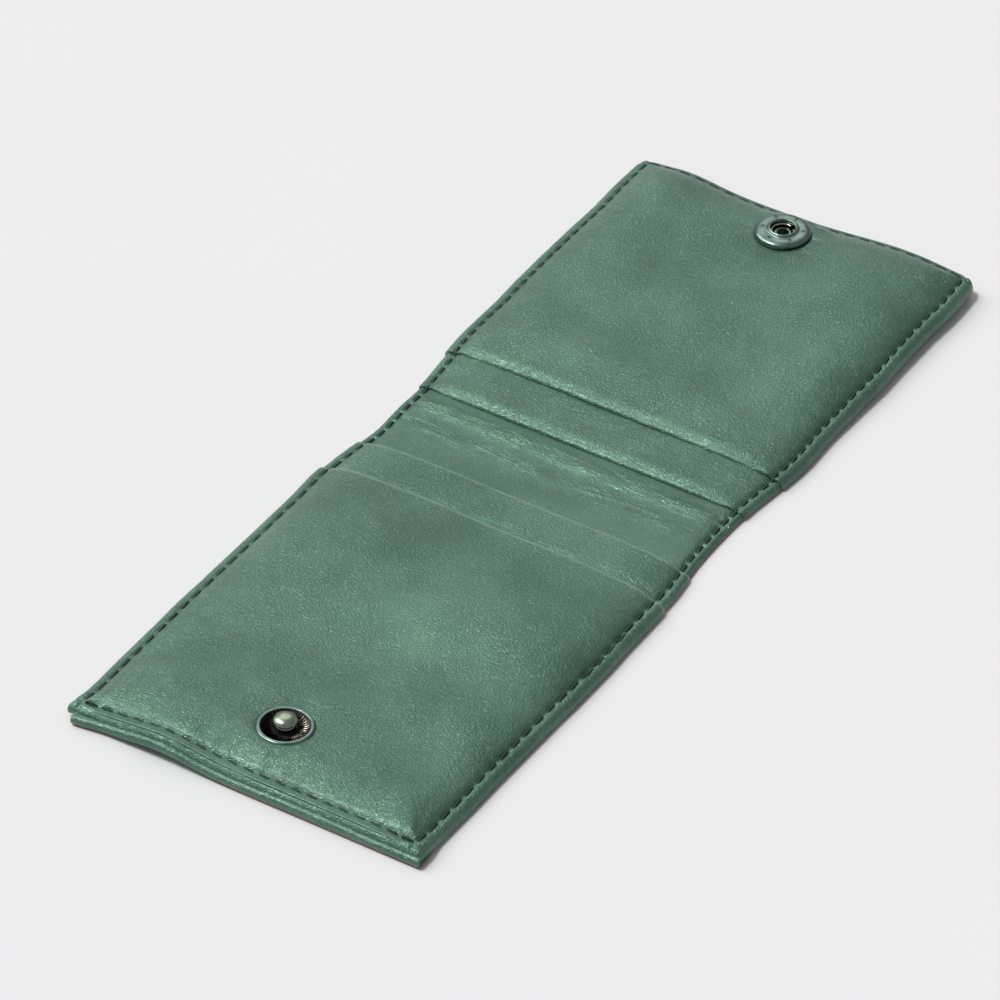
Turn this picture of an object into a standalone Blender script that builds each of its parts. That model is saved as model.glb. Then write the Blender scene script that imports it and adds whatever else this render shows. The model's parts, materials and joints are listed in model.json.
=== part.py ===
"""A snap-fastened folding card holder, lying open with its inside up.

Two halves of layered leather are joined by a thin spine. The back half carries the
stud and stays still. The front flap carries the socket and turns about the spine,
until the socket closes over the stud. X runs across the holder, Y along it towards
the flap's end, and Z up. The holder rests on Z = 0.
"""

import math

import bmesh
import bpy

MM = 0.001

# Overall sizes
WIDTH = 75.0 * MM
LENGTH = 200.0 * MM
CORNER = 1.5 * MM
FOLD_Y = 2.7 * MM
FOLD_Z = 6.75 * MM
SNAP_REACH = 87.2 * MM
GAP = 0.25 * MM

# The spine is the thin stretch that bends
SPINE_BACK = 6.8 * MM
SPINE_FRONT = 9.5 * MM

# Where each pocket's mouth lies, measured from the fold
BACK_LOWER_MOUTH = 7.9 * MM
BACK_UPPER_MOUTH = 18.7 * MM
FRONT_LOWER_MOUTH = 13.3 * MM
FRONT_UPPER_MOUTH = 24.7 * MM

# Underside height and thickness of each layer along the seams, where all are pressed flat
COVER_Z, COVER_T = 0.0, 0.8 * MM
LINING_Z, LINING_T = 1.05 * MM, 0.5 * MM
LOWER_POCKET_Z, LOWER_POCKET_T = 1.8 * MM, 0.5 * MM
UPPER_POCKET_Z, UPPER_POCKET_T = 2.55 * MM, 0.6 * MM

# Inside the seams the layers stand up over the interlining, and the upper pocket puffs out
INNER_RISE = 0.65 * MM
UPPER_RISE = 2.1 * MM
SEAM_ALLOWANCE = 3.4 * MM
RISE_SLOPE = 3.0 * MM
FRONT_END_ALLOWANCE = 2.4 * MM
FRONT_END_SLOPE = 1.2 * MM
SIDE_CLEAR = SEAM_ALLOWANCE + RISE_SLOPE + 0.4 * MM

# The two layers that lie hidden in that middle
INTERLINING_Z, INTERLINING_T = 1.05 * MM, 0.4 * MM
DIVIDER_Z, DIVIDER_T = 3.2 * MM, 0.15 * MM

# Seams
SIDE_SEAM_INSET = 2.2 * MM
BACK_END_SEAM_INSET = 3.6 * MM
FRONT_END_SEAM_INSET = 1.7 * MM
STITCH = 3.4 * MM
THREAD_R = 0.22 * MM

# Snap fastener
TUBE_HOLE_R = 1.9 * MM
POCKET_TOP = UPPER_POCKET_Z + UPPER_POCKET_T + UPPER_RISE
SNAP_Z = POCKET_TOP + GAP
STUD_Y = FOLD_Y - SNAP_REACH
SOCKET_Y = FOLD_Y + SNAP_REACH
TURNED_SEGMENTS = 24
DISH_RIBS = 36

BACK_END = -LENGTH / 2
FRONT_END = LENGTH / 2
BACK_SPINE_EDGE = FOLD_Y - SPINE_BACK
FRONT_SPINE_EDGE = FOLD_Y + SPINE_FRONT


def clear_scene():
    for old in list(bpy.data.objects):
        bpy.data.objects.remove(old, do_unlink=True)


def finish_material(name, color, roughness, metallic=0.0):
    material = bpy.data.materials.new(name)
    material.use_nodes = True
    shader = material.node_tree.nodes["Principled BSDF"]
    shader.inputs["Base Color"].default_value = (*color, 1.0)
    shader.inputs["Roughness"].default_value = roughness
    shader.inputs["Metallic"].default_value = metallic
    material.diffuse_color = (*color, 1.0)
    return material


def add_object(name, shape, look, smooth=False):
    """Turns a bmesh into a named object with its own material."""
    bmesh.ops.recalc_face_normals(shape, faces=shape.faces)
    mesh = bpy.data.meshes.new(name)
    shape.to_mesh(mesh)
    shape.free()
    if smooth:
        mesh.shade_smooth()
        mesh.set_sharp_from_angle(angle=math.radians(35))
    made = bpy.data.objects.new(name, mesh)
    bpy.context.collection.objects.link(made)
    color, roughness, metallic = look
    mesh.materials.append(finish_material(name, color, roughness, metallic))
    return made


LEATHER = ((0.105, 0.225, 0.165), 0.42, 0.0)
LINING_LEATHER = ((0.12, 0.25, 0.185), 0.45, 0.0)
BOARD = ((0.55, 0.52, 0.45), 0.9, 0.0)
CLOTH = ((0.07, 0.12, 0.10), 0.95, 0.0)
THREAD = ((0.03, 0.09, 0.06), 0.7, 0.0)
RING_METAL = ((0.36, 0.42, 0.40), 0.3, 1.0)
DARK_METAL = ((0.03, 0.03, 0.035), 0.4, 1.0)
SPRING_METAL = ((0.6, 0.6, 0.58), 0.25, 1.0)
WASHER = ((0.08, 0.08, 0.08), 0.6, 0.0)


# Leather panels


def rows_along(start, end, round_start, round_end, extra=()):
    """Y positions of a panel's rows, and the half width at each, with round corners at the ends asked for."""
    steps = [part * CORNER for part in (0.0, 0.12, 0.4, 1.0)]
    places = [start + d for d in steps] if round_start else [start]
    places += [end - d for d in steps] if round_end else [end]
    places += extra
    rows = []
    for y in sorted(places):
        from_round = min(y - start if round_start else CORNER, end - y if round_end else CORNER)
        rows.append((y, half_width(from_round)))
    return rows


def half_width(from_round):
    """Half the width at a distance from a round-cornered end."""
    rest = max(CORNER - from_round, 0.0)
    return WIDTH / 2 - CORNER + math.sqrt(CORNER**2 - rest**2)


def sheet_between(rows, columns, low, high):
    """A closed panel. low and high give the height of its faces at (x, y).
    Columns are distances in from each side."""
    shape = bmesh.new()
    layers = []
    for height in (low, high):
        grid = []
        for y, half in rows:
            xs = [c - half for c in columns] + [half - c for c in reversed(columns)]
            grid.append([shape.verts.new((x, y, height(x, y))) for x in xs])
        layers.append(grid)
    count = 2 * len(columns)
    for grid in layers:
        for a, b in zip(grid, grid[1:]):
            for i in range(count - 1):
                shape.faces.new((a[i], a[i + 1], b[i + 1], b[i]))
    bottom, top = layers
    for i in range(count - 1):
        shape.faces.new((bottom[0][i], bottom[0][i + 1], top[0][i + 1], top[0][i]))
        shape.faces.new((bottom[-1][i], bottom[-1][i + 1], top[-1][i + 1], top[-1][i]))
    for r in range(len(rows) - 1):
        for side in (0, count - 1):
            shape.faces.new((bottom[r][side], bottom[r + 1][side], top[r + 1][side], top[r][side]))
    return shape


def flat_panel(name, start, end, z, thickness, look, inset=0.0, round_start=False, round_end=False):
    """A flat layer with softened side edges on its top face."""
    soften = min(0.3 * thickness, 0.3 * MM)
    rows = rows_along(start, end, round_start, round_end)

    def low(x, y):
        return z

    def high(x, y):
        half = WIDTH / 2 - inset
        return z + thickness - (soften if abs(x) > half - 0.2 * MM else 0.0)

    rows = [(y, half - inset) for y, half in rows]
    return add_object(name, sheet_between(rows, [0.0, 1.2 * MM], low, high), look)


def rise_at(x, y, edges):
    """0 along both sides and the given edges, where a layer is pressed flat, and 1 well inside them.
    Each edge is (y, allowance, slope)."""
    inward = [(WIDTH / 2 - abs(x) - SEAM_ALLOWANCE) / RISE_SLOPE]
    inward += [(abs(edge - y) - allowance) / slope for edge, allowance, slope in edges]
    t = min(max(min(inward), 0.0), 1.0)
    return t * t * (3 - 2 * t)


def raised_panel(name, start, end, z, thickness, rise, edges, look, round_start=False, round_end=False):
    """A layer that is pressed flat along its seams and stands up inside them."""
    extra = []
    for edge, allowance, slope in edges:
        inward = 1 if abs(edge - start) < abs(edge - end) else -1
        extra += [edge + inward * d for d in (allowance, allowance + slope / 2, allowance + slope)]
    rows = rows_along(start, end, round_start, round_end, extra)
    middle = SEAM_ALLOWANCE + 3 * RISE_SLOPE
    columns = [0.0, 1.2 * MM, SEAM_ALLOWANCE, SEAM_ALLOWANCE + RISE_SLOPE / 2, SEAM_ALLOWANCE + RISE_SLOPE, middle]

    def low(x, y):
        return z + rise * rise_at(x, y, edges)

    def high(x, y):
        return low(x, y) + thickness

    return add_object(name, sheet_between(rows, columns, low, high), look, smooth=True)


def cut_tube_hole(pocket, snap_y):
    """The hole in an upper pocket that the snap's tube goes through."""
    cut = pocket.modifiers.new("tube hole", "BOOLEAN")
    cut.operation = "DIFFERENCE"
    cut.solver = "EXACT"
    cut.object = punch(f"{pocket.name}_punch", snap_y)


def punch(name, y):
    """A hidden cutter for the hole that the snap's tube goes through."""
    shape = bmesh.new()
    bmesh.ops.create_cone(
        shape, cap_ends=True, segments=TURNED_SEGMENTS, radius1=TUBE_HOLE_R, radius2=TUBE_HOLE_R, depth=6 * MM
    )
    cutter = add_object(name, shape, BOARD)
    cutter.location = (0.0, y, UPPER_POCKET_Z + UPPER_RISE)
    cutter.hide_render = True
    cutter.display_type = "WIRE"
    return cutter


# Seams


def thread_line(name, start, end):
    """One seam's thread, laid along a line: each stitch lies on top and dips at both ends."""
    length = math.dist(start, end)
    count = max(1, round(length / STITCH))
    along = [(b - a) / length for a, b in zip(start, end)]
    across = (-along[1], along[0])
    shape = bmesh.new()
    rings = []
    for i in range(3 * count + 1):
        stitch, part = divmod(i, 3)
        t = (stitch + (0.0, 0.2, 0.8)[part]) / count * length
        z = start[2] + (0.0 if part == 0 else THREAD_R)
        x, y = start[0] + along[0] * t, start[1] + along[1] * t
        corners = [(1, 0), (0, 1), (-1, 0), (0, -1)]
        ring = [
            shape.verts.new((x + across[0] * THREAD_R * a, y + across[1] * THREAD_R * a, z + THREAD_R * b))
            for a, b in corners
        ]
        rings.append(ring)
    for a, b in zip(rings, rings[1:]):
        for i in range(4):
            j = (i + 1) % 4
            shape.faces.new((a[i], a[j], b[j], b[i]))
    shape.faces.new(rings[0])
    shape.faces.new(rings[-1])
    return add_object(name, shape, THREAD, smooth=True)


def seams(prefix, end, mouth, end_inset):
    """The two side seams and the end seam of one half. They lie on the upper pocket's pressed margin."""
    z = UPPER_POCKET_Z + UPPER_POCKET_T + THREAD_R + GAP
    toward = 1 if mouth > end else -1
    side = WIDTH / 2 - SIDE_SEAM_INSET
    seam_y = end + toward * end_inset
    stop = mouth - toward * 0.6 * MM
    clear = 1.0 * MM
    for word, x in (("left", -side), ("right", side)):
        thread_line(f"{prefix}_{word}_stitching", (x, seam_y + toward * clear, z), (x, stop, z))
    thread_line(f"{prefix}_end_stitching", (clear - side, seam_y, z), (side - clear, seam_y, z))


# Snap fastener


def turned(name, profile, y, look, segments=TURNED_SEGMENTS, ribs=None):
    """A turned piece about a vertical axis at (0, y).
    profile is a loop of (radius, height) in millimetres from SNAP_Z. A point at radius 0 closes the piece.
    ribs lowers every other segment of some profile points by a height."""
    shape = bmesh.new()
    rings = []
    for k, (radius, height) in enumerate(profile):
        z = SNAP_Z + height * MM
        if radius == 0:
            rings.append([shape.verts.new((0.0, y, z))] * segments)
            continue
        ring = []
        for i in range(segments):
            turn = 2 * math.pi * i / segments
            lowered = ribs[1] * MM if ribs and k in ribs[0] and i % 2 else 0.0
            ring.append(
                shape.verts.new((radius * MM * math.cos(turn), y + radius * MM * math.sin(turn), z - lowered))
            )
        rings.append(ring)
    closed = profile[0][0] != 0
    pairs = list(zip(rings, rings[1:]))
    if closed:
        pairs.append((rings[-1], rings[0]))
    for a, b in pairs:
        for i in range(segments):
            j = (i + 1) % segments
            corners = [a[i], a[j], b[j], b[i]]
            unique = [v for n, v in enumerate(corners) if v not in corners[:n]]
            if len(unique) > 2:
                shape.faces.new(unique)
    return add_object(name, shape, look, smooth=True)


def eyelet(name, y):
    """The tube that goes up through the pocket's leather, with its flange under the leather."""
    profile = [(1.2, -1.75), (3.4, -1.75), (3.4, -1.5), (1.6, -1.5), (1.6, 0.1), (1.2, 0.1)]
    return turned(name, profile, y, RING_METAL)


def washer(name, y):
    """The washer between the flange and the leather, which keeps the tube from pulling out."""
    profile = [(1.9, -1.3), (4.0, -1.3), (4.0, -1.1), (1.9, -1.1)]
    return turned(name, profile, y, WASHER)


def stud(y):
    turned(
        "stud_ring",
        [(4.6, 0.05), (5.35, 0.05), (5.35, 0.3), (5.15, 0.5), (4.8, 0.5), (4.6, 0.35)],
        y,
        RING_METAL,
        segments=36,
    )
    turned(
        "stud_dish",
        [(1.95, 0.05), (4.4, 0.05), (4.4, 0.42), (3.7, 0.36), (2.4, 0.32), (1.95, 0.32)],
        y,
        DARK_METAL,
        segments=2 * DISH_RIBS,
        ribs=((2, 3), 0.14),
    )
    turned(
        "stud_head",
        [
            (0, 0.4),
            (1.75, 0.4),
            (1.75, 0.6),
            (1.45, 0.75),
            (1.4, 1.1),
            (2.05, 1.4),
            (2.1, 1.6),
            (1.6, 1.9),
            (0, 2.0),
        ],
        y,
        RING_METAL,
    )
    eyelet("stud_eyelet", y)
    washer("stud_washer", y)


def socket(y):
    turned(
        "socket_ring",
        [
            (5.4, 0.05),
            (5.4, 0.7),
            (5.1, 1.1),
            (4.3, 1.3),
            (3.3, 1.2),
            (2.95, 1.6),
            (2.75, 1.7),
            (2.5, 1.62),
            (2.45, 1.3),
            (3.0, 0.9),
            (4.3, 0.98),
            (4.85, 0.8),
            (5.1, 0.5),
            (5.1, 0.05),
        ],
        y,
        RING_METAL,
        segments=36,
    )
    turned("socket_base", [(1.9, 0.0), (4.85, 0.0), (4.85, 0.22), (1.9, 0.22)], y, DARK_METAL)
    spring_ring("socket_spring", y)
    eyelet("socket_eyelet", y)
    washer("socket_washer", y)


def spring_ring(name, y):
    """An open ring of wire inside the socket, which grips the stud's head."""
    wire, radius, z = 0.15 * MM, 2.75 * MM, SNAP_Z + 0.55 * MM
    open_from, steps = math.radians(25), 20
    shape = bmesh.new()
    rings = []
    for i in range(steps + 1):
        turn = open_from + (2 * math.pi - 2 * open_from) * i / steps
        ring = []
        for k in range(6):
            roll = 2 * math.pi * k / 6
            reach = radius + wire * math.cos(roll)
            ring.append(
                shape.verts.new((reach * math.cos(turn), y + reach * math.sin(turn), z + wire * math.sin(roll)))
            )
        rings.append(ring)
    for a, b in zip(rings, rings[1:]):
        for k in range(6):
            n = (k + 1) % 6
            shape.faces.new((a[k], a[n], b[n], b[k]))
    shape.faces.new(rings[0])
    shape.faces.new(rings[-1])
    return add_object(name, shape, SPRING_METAL, smooth=True)


# The two halves and the spine


def back_half():
    edge, lower, upper = BACK_SPINE_EDGE, FOLD_Y - BACK_LOWER_MOUTH, FOLD_Y - BACK_UPPER_MOUTH
    sewn = [(BACK_END, SEAM_ALLOWANCE, RISE_SLOPE)]
    both = [*sewn, (edge, SEAM_ALLOWANCE, RISE_SLOPE)]
    inner = BACK_END + SIDE_CLEAR
    rounded = {"round_start": True}
    flat_panel("back_cover", BACK_END, edge, COVER_Z, COVER_T, LEATHER, **rounded)
    flat_panel("back_interlining", inner, edge - SIDE_CLEAR, INTERLINING_Z, INTERLINING_T, BOARD, SIDE_CLEAR)
    raised_panel("back_lining", BACK_END, edge, LINING_Z, LINING_T, INNER_RISE, both, LINING_LEATHER, **rounded)
    raised_panel(
        "back_lower_pocket",
        BACK_END,
        lower,
        LOWER_POCKET_Z,
        LOWER_POCKET_T,
        INNER_RISE,
        sewn,
        LEATHER,
        **rounded,
    )
    flat_panel("back_pocket_divider", inner, upper - 3 * MM, DIVIDER_Z, DIVIDER_T, CLOTH, SIDE_CLEAR)
    pocket = raised_panel(
        "back_upper_pocket",
        BACK_END,
        upper,
        UPPER_POCKET_Z,
        UPPER_POCKET_T,
        UPPER_RISE,
        sewn,
        LEATHER,
        **rounded,
    )
    cut_tube_hole(pocket, STUD_Y)
    seams("back", BACK_END, upper, BACK_END_SEAM_INSET)
    stud(STUD_Y)


def front_flap():
    edge, lower, upper = FRONT_SPINE_EDGE, FOLD_Y + FRONT_LOWER_MOUTH, FOLD_Y + FRONT_UPPER_MOUTH
    sewn = [(FRONT_END, FRONT_END_ALLOWANCE, FRONT_END_SLOPE)]
    both = [(edge, SEAM_ALLOWANCE, RISE_SLOPE), *sewn]
    inner = FRONT_END - FRONT_END_ALLOWANCE - FRONT_END_SLOPE - 0.4 * MM
    rounded = {"round_end": True}
    flat_panel("front_cover", edge, FRONT_END, COVER_Z, COVER_T, LEATHER, **rounded)
    flat_panel("front_interlining", edge + SIDE_CLEAR, inner, INTERLINING_Z, INTERLINING_T, BOARD, SIDE_CLEAR)
    raised_panel("front_lining", edge, FRONT_END, LINING_Z, LINING_T, INNER_RISE, both, LINING_LEATHER, **rounded)
    raised_panel(
        "front_lower_pocket",
        lower,
        FRONT_END,
        LOWER_POCKET_Z,
        LOWER_POCKET_T,
        INNER_RISE,
        sewn,
        LEATHER,
        **rounded,
    )
    flat_panel("front_pocket_divider", upper + 3 * MM, inner, DIVIDER_Z, DIVIDER_T, CLOTH, SIDE_CLEAR)
    pocket = raised_panel(
        "front_upper_pocket",
        upper,
        FRONT_END,
        UPPER_POCKET_Z,
        UPPER_POCKET_T,
        UPPER_RISE,
        sewn,
        LEATHER,
        **rounded,
    )
    cut_tube_hole(pocket, SOCKET_Y)
    seams("front", FRONT_END, upper, FRONT_END_SEAM_INSET)
    socket(SOCKET_Y)


def spine():
    """The stretch of cover and lining that bends, with the seams that cross it."""
    start, end = BACK_SPINE_EDGE + 0.3 * MM, FRONT_SPINE_EDGE - 0.3 * MM
    flat_panel("spine_cover", start, end, COVER_Z, COVER_T, LEATHER, 0.8 * MM)
    flat_panel("spine_lining", start, end, LINING_Z, LINING_T, LINING_LEATHER, 0.9 * MM)
    side = WIDTH / 2 - SIDE_SEAM_INSET
    z = LINING_Z + LINING_T + THREAD_R + GAP
    for word, x in (("left", -side), ("right", side)):
        thread_line(f"spine_{word}_stitching", (x, start, z), (x, end, z))


def hang_on(parent_name, location, names):
    """An empty on a body's axis, with the body's pieces parented to it where they are."""
    hub = bpy.data.objects.new(parent_name, None)
    hub.location = location
    bpy.context.collection.objects.link(hub)
    for name in names:
        piece = bpy.data.objects[name]
        piece.parent = hub
        piece.location = piece.location - hub.location


def main():
    clear_scene()
    back_half()
    front_flap()
    spine()
    flap = [o.name for o in bpy.data.objects if o.name.startswith(("front_", "socket_"))]
    hang_on("fold_axis", (0.0, FOLD_Y, FOLD_Z), flap)


main()
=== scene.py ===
# %% [markdown]
# # A snap-fastened card holder in pearly green leather
# The holder lies open with its inside up. The frame made earlier says where each
# layer, seam and snap half goes, so this lesson only adds what the eye sees: soft
# leather skins, sewn seams, a bright snap, and light.

# %% Load the frame
import json
import math

import bpy
import numpy as np
from mathutils import Matrix, Vector


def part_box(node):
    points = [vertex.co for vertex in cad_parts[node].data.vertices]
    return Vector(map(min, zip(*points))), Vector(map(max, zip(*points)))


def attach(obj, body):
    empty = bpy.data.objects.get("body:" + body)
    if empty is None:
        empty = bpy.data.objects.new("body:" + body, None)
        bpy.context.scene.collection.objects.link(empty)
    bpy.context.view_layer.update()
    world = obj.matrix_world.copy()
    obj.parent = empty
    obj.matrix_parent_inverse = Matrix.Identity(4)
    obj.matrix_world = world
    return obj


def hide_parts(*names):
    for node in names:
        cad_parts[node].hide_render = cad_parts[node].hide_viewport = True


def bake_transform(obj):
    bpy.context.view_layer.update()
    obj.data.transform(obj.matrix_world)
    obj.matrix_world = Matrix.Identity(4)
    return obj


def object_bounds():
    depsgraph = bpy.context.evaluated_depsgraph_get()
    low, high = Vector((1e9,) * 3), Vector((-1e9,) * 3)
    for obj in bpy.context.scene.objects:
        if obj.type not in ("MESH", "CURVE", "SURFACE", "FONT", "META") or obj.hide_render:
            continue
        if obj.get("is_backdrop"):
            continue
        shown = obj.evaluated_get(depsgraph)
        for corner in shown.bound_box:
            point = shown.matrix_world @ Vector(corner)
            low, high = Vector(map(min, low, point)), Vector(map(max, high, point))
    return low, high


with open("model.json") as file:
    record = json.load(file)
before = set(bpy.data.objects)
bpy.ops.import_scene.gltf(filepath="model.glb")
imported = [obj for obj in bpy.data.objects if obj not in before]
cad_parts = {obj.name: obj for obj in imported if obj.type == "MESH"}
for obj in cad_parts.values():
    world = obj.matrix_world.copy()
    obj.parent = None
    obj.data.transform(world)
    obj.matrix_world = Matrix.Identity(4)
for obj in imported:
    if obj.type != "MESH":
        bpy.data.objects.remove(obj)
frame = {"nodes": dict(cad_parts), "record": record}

cad_low, cad_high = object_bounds()

# %% [markdown]
# ## Sizes
# Everything is placed from the frame: the ends, the four pocket mouths, the fold
# and the two halves of the snap. Lengths are in metres, and MM keeps them readable.

# %% Read the sizes
MM = 0.001
fold = frame["record"]["behaviour"]["joints"][0]
FOLD_Y = fold["pos_m"][1]
back_end, front_end = cad_low.y, cad_high.y
half_width = cad_high.x
back_upper_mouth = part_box("back_upper_pocket")[1].y
back_lower_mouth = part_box("back_lower_pocket")[1].y
front_lower_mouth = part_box("front_lower_pocket")[0].y
front_upper_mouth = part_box("front_upper_pocket")[0].y
spine_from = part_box("spine_cover")[0].y
spine_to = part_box("spine_cover")[1].y
seam_x = abs(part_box("back_left_stitching")[0].x) - 0.4 * MM
back_seam_y = (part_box("back_end_stitching")[0].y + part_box("back_end_stitching")[1].y) / 2
front_seam_y = (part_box("front_end_stitching")[0].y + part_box("front_end_stitching")[1].y) / 2
stud_centre = (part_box("stud_ring")[0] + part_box("stud_ring")[1]) / 2
socket_centre = (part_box("socket_ring")[0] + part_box("socket_ring")[1]) / 2
pocket_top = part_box("back_upper_pocket")[1].z
print("pocket top at", round(pocket_top / MM, 2), "mm; fold at", round(FOLD_Y / MM, 2), "mm")

# %% [markdown]
# ## Camera
# A long lens from well back keeps the long edges almost parallel. The camera looks
# down at the near end from the right-hand side, and is rolled a little. Building
# its matrix from a forward, a right and an up direction keeps the roll simple.

# %% Place the camera
AZIMUTH, ELEVATION, ROLL = math.radians(30.88), math.radians(38.52), math.radians(1.59)
LOOK_AT = Vector((-5.35, -3.7, 0.0)) * MM
DISTANCE = 1513.8 * MM
LENS = 295.7


def add_camera():
    level = math.cos(ELEVATION)
    forward = Vector((-level * math.sin(AZIMUTH), level * math.cos(AZIMUTH), -math.sin(ELEVATION)))
    level_right = forward.cross(Vector((0, 0, 1))).normalized()
    level_up = level_right.cross(forward)
    right = math.cos(ROLL) * level_right + math.sin(ROLL) * level_up
    up = math.cos(ROLL) * level_up - math.sin(ROLL) * level_right
    camera = bpy.data.objects.new("camera", bpy.data.cameras.new("camera"))
    camera.data.lens = LENS
    camera.data.clip_end = 20
    turn = Matrix((right, up, -forward)).transposed().to_4x4()
    camera.matrix_world = Matrix.Translation(LOOK_AT - forward * DISTANCE) @ turn
    bpy.context.collection.objects.link(camera)
    bpy.context.scene.camera = camera


add_camera()
print("camera", round(DISTANCE, 3), "m away with a", LENS, "mm lens")

# %% [markdown]
# ## Shader maths as Python
# A material's pattern is a sum of noises and masks. Writing it as nodes by hand is
# slow to read, so one small class wraps a socket: adding or multiplying two of
# them adds the Math node that does it, and `node` makes any other node.

# %% Wrap shader sockets
class Maths:
    """A socket of a shader, or a plain number, that can be used in sums."""

    def __init__(self, tree, socket):
        self.tree = tree
        self.socket = socket

    def maths(self, operation, *others):
        step = self.tree.nodes.new("ShaderNodeMath")
        step.operation = operation
        for place, value in zip(step.inputs, (self, *others)):
            put(self.tree, place, value)
        return Maths(self.tree, step.outputs[0])

    def __add__(self, other):
        if self.socket.type == "VECTOR":
            return node(self.tree, "ShaderNodeVectorMath", {"operation": "ADD"}, {0: self, 1: other})[0]
        return self.maths("ADD", other)

    def __sub__(self, other):
        return self.maths("SUBTRACT", other)

    def __mul__(self, other):
        return self.maths("MULTIPLY", other)

    def __pow__(self, other):
        return self.maths("POWER", other)

    def __rsub__(self, other):
        return (self * -1) + other

    def __abs__(self):
        return self.maths("ABSOLUTE")

    __radd__ = __add__
    __rmul__ = __mul__

    def step(self, start, end):
        """0 before start, 1 after end, and smooth in between."""
        settings = {"interpolation_type": "SMOOTHSTEP"}
        values = {"Value": self, "From Min": start, "From Max": end}
        return node(self.tree, "ShaderNodeMapRange", settings, values)[0]


def put(tree, place, value):
    """Sets a socket to a value, or links it to another socket."""
    if isinstance(value, Maths):
        tree.links.new(value.socket, place)
    elif isinstance(value, bpy.types.NodeSocket):
        tree.links.new(value, place)
    else:
        place.default_value = value


def node(tree, kind, settings=None, values=None):
    """Makes a node from its settings and the values or links of its sockets. Gives its outputs."""
    made = tree.nodes.new(kind)
    for name, value in (settings or {}).items():
        setattr(made, name, value)
    for name, value in (values or {}).items():
        put(tree, made.inputs[name], value)
    return [Maths(tree, out) for out in made.outputs if out.enabled]


def new_material(name):
    """A material with a bare Principled shader. Gives the material, its tree and the shader."""
    material = bpy.data.materials.new(name)
    material.use_nodes = True
    tree = material.node_tree
    return material, tree, tree.nodes["Principled BSDF"]


def place_in_mm(tree):
    """Where a point lies on the holder, in millimetres, as a vector and as x, y and z."""
    coordinates = tree.nodes.new("ShaderNodeTexCoord").outputs["Object"]
    scaled = node(
        tree,
        "ShaderNodeVectorMath",
        {"operation": "SCALE"},
        {"Vector": coordinates, "Scale": 1 / MM},
    )[0]
    return scaled, node(tree, "ShaderNodeSeparateXYZ", None, {"Vector": scaled})


def noise(tree, at, scale, detail=2.0, roughness=0.5, distortion=0.0):
    values = {"Vector": at, "Scale": scale, "Detail": detail}
    values |= {"Roughness": roughness, "Distortion": distortion}
    return node(tree, "ShaderNodeTexNoise", None, values)[0]


def stretched(tree, at, scale, turn=(0, 0, 0)):
    """The same place, stretched and turned, so that a noise read there runs in one direction."""
    return node(
        tree, "ShaderNodeMapping", None, {"Vector": at, "Scale": scale, "Rotation": turn}
    )[0]


def mixed(tree, factor, low, high):
    """A colour between two colours."""
    made = tree.nodes.new("ShaderNodeMix")
    made.data_type = "RGBA"
    put(tree, made.inputs["Factor"], factor)
    for name, value in (("A", low), ("B", high)):
        place = [s for s in made.inputs if s.name == name and s.type == "RGBA"][0]
        put(tree, place, (*value, 1.0) if isinstance(value, tuple) else value)
    out = [s for s in made.outputs if s.type == "RGBA"][0]
    return Maths(tree, out)


def bump(tree, height, strength, distance):
    values = {"Height": height, "Strength": strength, "Distance": distance}
    return node(tree, "ShaderNodeBump", None, values)[0]


# %% [markdown]
# ## Green leather
# The skin is taken to be thin, soft lamb leather with a pearly finish: the dye is green,
# and fine mica on top throws back a pale, minty light where it faces a lamp. A
# half-metallic base gives that tinted shine. The grain is built from three sizes
# of pattern: short wrinkles, pebbles, and pores. Its crests are painted paler, partly
# as rubbed wear and partly as painted highlight, and its valleys darker as painted shade.

# %% Make the leather
DEEP = (0.050, 0.122, 0.084)
MIDDLE = (0.128, 0.258, 0.188)
PALE = (0.330, 0.490, 0.400)
RED_EDGE = (0.40, 0.05, 0.06)


def band(value, centre, reach):
    """1 at the centre of a band, and 0 past its reach."""
    return 1 - abs(value - centre).step(0.0, reach)


def grain_pattern(tree, at):
    """The leather's grain: small pebbles with narrow valleys between them, and pores."""
    drift = noise(tree, at, 0.11, 2.0)
    bent = at + drift * 3.0
    leaning = stretched(tree, bent, (0.72, 1.30, 1.0), (0, 0, math.radians(18)))
    wrinkle = noise(tree, leaning, 1.0, 4.0, 0.62, 0.9)
    settings = {"feature": "DISTANCE_TO_EDGE"}
    valley = node(tree, "ShaderNodeTexVoronoi", settings, {"Vector": leaning, "Scale": 1.75})[0]
    pores = noise(tree, at, 4.2, 2.0, 0.6)
    return valley.step(0.0, 0.36) * 0.55 + abs(wrinkle * 2 - 1) * 1.7 + pores * 0.4 - 0.5, drift


def strokes(tree, at):
    """Short, thin, broken creases that run across the holder."""
    lines = 0
    for lean, pace, scale in ((-8, 0.22, 0.85), (14, 0.35, 0.75)):
        across = stretched(tree, at, (pace, 1.0, 1.0), (0, 0, math.radians(lean)))
        fine = noise(tree, across, scale, 3.0, 0.6, 0.8)
        lines = (1 - abs(fine * 2 - 1) * 5.5).maths("MAXIMUM", 0.0) + lines
    return lines


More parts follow.
